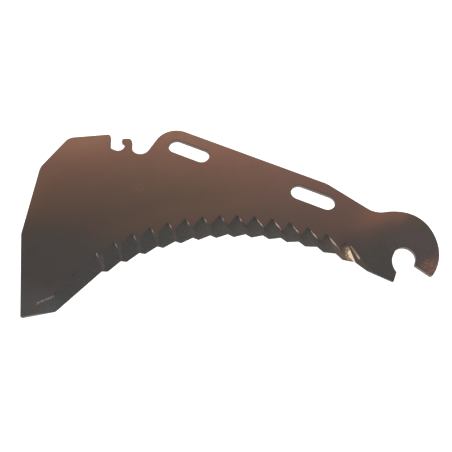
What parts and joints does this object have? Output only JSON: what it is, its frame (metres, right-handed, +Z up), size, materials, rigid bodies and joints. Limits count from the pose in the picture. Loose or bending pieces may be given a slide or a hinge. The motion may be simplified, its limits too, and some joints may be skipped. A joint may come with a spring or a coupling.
{
  "type": "forage harvester knife",
  "caption": "Flat steel forage knife with slotted fixing holes, a hooked pivot seat, locking notches and a serrated, concave cutting edge ground from one face.",
  "frame": {"origin": "midway between the two fixing slots, on the underside of the plate", "axes": "+X along the line of the slots towards the hooked end, +Y towards the straight back edge, +Z up out of the ground face"},
  "size_m": [0.4859, 0.2967, 0.005],
  "materials": {
    "steel": "hardened steel plate with a brown to grey temper colour, bare ground grooves"
  },
  "bodies": {
    "root": {"knife": "steel"}
  },
  "joints": []
}
